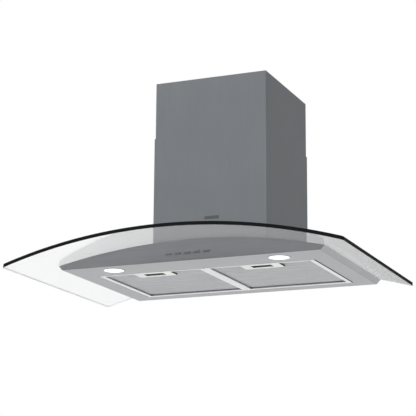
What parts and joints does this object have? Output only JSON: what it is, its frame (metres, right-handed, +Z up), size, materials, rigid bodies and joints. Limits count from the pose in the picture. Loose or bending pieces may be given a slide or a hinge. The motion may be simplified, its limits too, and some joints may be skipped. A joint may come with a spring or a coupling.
{
  "type": "island range hood",
  "caption": "Ceiling-hung range hood: arched clear glass over a slim steel canopy, telescopic square chimney, drop-down mesh filters, lamps and push buttons.",
  "frame": {"origin": "centre of the four ceiling bolts, on the top face of the ceiling plate", "axes": "+X along the width of the hood, to the right of a person facing the controls; +Z up; the controls face -Y"},
  "size_m": [0.9, 0.615, 0.5352],
  "materials": {
    "zinc_steel": "zinc-plated sheet and rolled angle",
    "chimney_steel": "brushed stainless, grain upright",
    "body_steel": "brushed stainless, grain along the width",
    "panel_steel": "brushed stainless, grain along the width",
    "screw_steel": "nickel-plated",
    "clear_glass": "clear tempered glass with ground edges",
    "clear_seal": "translucent silicone",
    "filter_aluminium": "bright rolled aluminium",
    "mesh_aluminium": "expanded aluminium mesh",
    "tray_plastic": "pale satin moulding",
    "dark_plastic": "fine-grained black moulding",
    "button_finish": "dark satin plated moulding",
    "lamp_lens": "frosted lens, lit",
    "bezel_chrome": "polished plated ring",
    "heat_sink": "bare aluminium",
    "blower_plastic": "flame-retardant grey moulding",
    "wheel_steel": "galvanised wheel",
    "motor_cast": "painted laminated motor",
    "board": "green solder mask",
    "badge": "blank polished plate"
  },
  "bodies": {
    "ceiling_frame": {"ceiling_plate": "zinc_steel", "upper_rails": "zinc_steel", "upper_chimney": "chimney_steel", "upper_chimney_back": "chimney_steel"},
    "hood": {"lower_chimney": "chimney_steel", "lower_chimney_back": "chimney_steel", "back_screws": "screw_steel", "lower_rails": "zinc_steel", "height_bolts": "zinc_steel", "chimney_clips": "zinc_steel", "body_shell": "body_steel", "top_cover": "body_steel", "bottom_panel": "panel_steel", "centre_rib": "zinc_steel", "glass_canopy": "clear_glass", "glass_gasket": "clear_seal", "blower_box": "zinc_steel", "blower_lid": "zinc_steel", "blower_housing_left": "blower_plastic", "blower_housing_right": "blower_plastic", "motor": "motor_cast", "motor_bracket": "zinc_steel", "outlet_collar": "blower_plastic", "flap_rod": "screw_steel", "switch_bank": "dark_plastic", "control_board": "board", "control_box": "dark_plastic", "control_box_lid": "dark_plastic", "power_board": "board", "terminal_block": "dark_plastic", "capacitor": "heat_sink", "led_driver": "dark_plastic", "lamp_lens_left": "lamp_lens", "lamp_lens_right": "lamp_lens", "lamp_bezel_left": "bezel_chrome", "lamp_bezel_right": "bezel_chrome", "lamp_body_left": "heat_sink", "lamp_body_right": "heat_sink", "badge_plate": "badge"},
    "impeller": {"blower_wheel": "wheel_steel", "blower_shaft": "screw_steel"},
    "damper_front": {"damper_flap_front": "blower_plastic"},
    "damper_rear": {"damper_flap_rear": "blower_plastic"},
    "filter_left": {"filter_frame_left": "filter_aluminium", "filter_mesh_left": "mesh_aluminium", "filter_core_left": "mesh_aluminium", "latch_tray_left": "tray_plastic", "latch_spring_left": "screw_steel"},
    "filter_right": {"filter_frame_right": "filter_aluminium", "filter_mesh_right": "mesh_aluminium", "filter_core_right": "mesh_aluminium", "latch_tray_right": "tray_plastic", "latch_spring_right": "screw_steel"},
    "latch_left": {"latch_slider_left": "dark_plastic"},
    "latch_right": {"latch_slider_right": "dark_plastic"},
    "button_1": {"button_1": "button_finish"},
    "button_2": {"button_2": "button_finish"},
    "button_3": {"button_3": "button_finish"},
    "button_4": {"button_4": "button_finish"},
    "button_5": {"button_5": "button_finish"}
  },
  "joints": [
    {"name": "height_slide", "type": "slide", "parent": "ceiling_frame", "child": "hood", "axis": [0, 0, -1], "range_m": [0, 0.2]},
    {"name": "filter_left_hinge", "type": "hinge", "parent": "hood", "child": "filter_left", "pos_m": [-0.14888, 0.118, -0.5235], "axis": [1, 0, 0], "range_deg": [0, 75]},
    {"name": "latch_left_slide", "type": "slide", "parent": "filter_left", "child": "latch_left", "axis": [0, 1, 0], "range_m": [0, 0.006], "stiffness_N_per_m": 400, "springref_m": -0.002, "deforming": ["latch_spring_left"]},
    {"name": "filter_right_hinge", "type": "hinge", "parent": "hood", "child": "filter_right", "pos_m": [0.14888, 0.118, -0.5235], "axis": [1, 0, 0], "range_deg": [0, 75]},
    {"name": "latch_right_slide", "type": "slide", "parent": "filter_right", "child": "latch_right", "axis": [0, 1, 0], "range_m": [0, 0.006], "stiffness_N_per_m": 400, "springref_m": -0.002, "deforming": ["latch_spring_right"]},
    {"name": "button_1_press", "type": "slide", "parent": "hood", "child": "button_1", "axis": [0, 1, 0], "range_m": [0, 0.0015], "stiffness_N_per_m": 600, "springref_m": -0.001},
    {"name": "button_2_press", "type": "slide", "parent": "hood", "child": "button_2", "axis": [0, 1, 0], "range_m": [0, 0.0015], "stiffness_N_per_m": 600, "springref_m": -0.001},
    {"name": "button_3_press", "type": "slide", "parent": "hood", "child": "button_3", "axis": [0, 1, 0], "range_m": [0, 0.0015], "stiffness_N_per_m": 600, "springref_m": -0.001},
    {"name": "button_4_press", "type": "slide", "parent": "hood", "child": "button_4", "axis": [0, 1, 0], "range_m": [0, 0.0015], "stiffness_N_per_m": 600, "springref_m": -0.001},
    {"name": "button_5_press", "type": "slide", "parent": "hood", "child": "button_5", "axis": [0, 1, 0], "range_m": [0, 0.0015], "stiffness_N_per_m": 600, "springref_m": -0.001},
    {"name": "impeller_spin", "type": "hinge", "parent": "hood", "child": "impeller", "pos_m": [0, -0.045, -0.35], "axis": [1, 0, 0], "continuous": true},
    {"name": "damper_front_swing", "type": "hinge", "parent": "hood", "child": "damper_front", "pos_m": [0, 0, -0.2], "axis": [-1, 0, 0], "range_deg": [0, 75]},
    {"name": "damper_rear_swing", "type": "hinge", "parent": "hood", "child": "damper_rear", "pos_m": [0, 0, -0.2], "axis": [1, 0, 0], "range_deg": [0, 75]}
  ]
}
